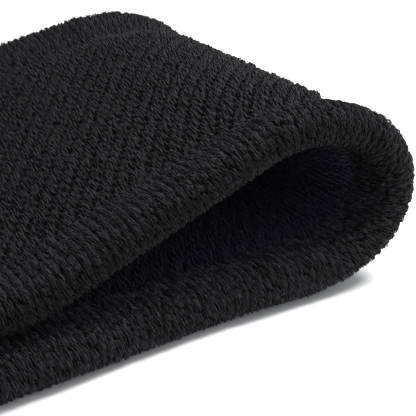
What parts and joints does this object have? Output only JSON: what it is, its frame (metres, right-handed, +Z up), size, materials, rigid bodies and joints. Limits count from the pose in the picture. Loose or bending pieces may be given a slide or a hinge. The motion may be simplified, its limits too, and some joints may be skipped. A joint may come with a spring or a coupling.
{
  "type": "sweat wristband",
  "caption": "Terry-knit sweat wristband: one elastic tube folded double, with rolled rims, lying flattened with one edge creased and the other sprung open.",
  "frame": {"origin": "middle of the footprint on the surface that the band lies on", "axes": "+Y along the arm, from the front mouth to the rear mouth; +X across the flattened band, from the creased edge to the open bend; +Z up"},
  "size_m": [0.084, 0.076, 0.0299],
  "materials": {
    "terry_pile": "looped cotton terry pile, near black, dull",
    "ground_knit": "fine plain knit that holds the loops, near black",
    "elastic_thread": "rubber thread wound with dark yarn",
    "seam_thread": "spun polyester sewing thread, near black"
  },
  "bodies": {
    "root": {"outer_wall_pile": "terry_pile", "outer_wall_ground": "ground_knit", "inner_wall_front_pile": "terry_pile", "inner_wall_front_ground": "ground_knit", "inner_wall_rear_pile": "terry_pile", "inner_wall_rear_ground": "ground_knit", "closing_seam_thread": "seam_thread", "front_rim_pile": "terry_pile", "front_rim_ground": "ground_knit", "rear_rim_pile": "terry_pile", "rear_rim_ground": "ground_knit", "outer_elastic_thread": "elastic_thread", "inner_front_elastic_thread": "elastic_thread", "inner_rear_elastic_thread": "elastic_thread"}
  },
  "joints": []
}
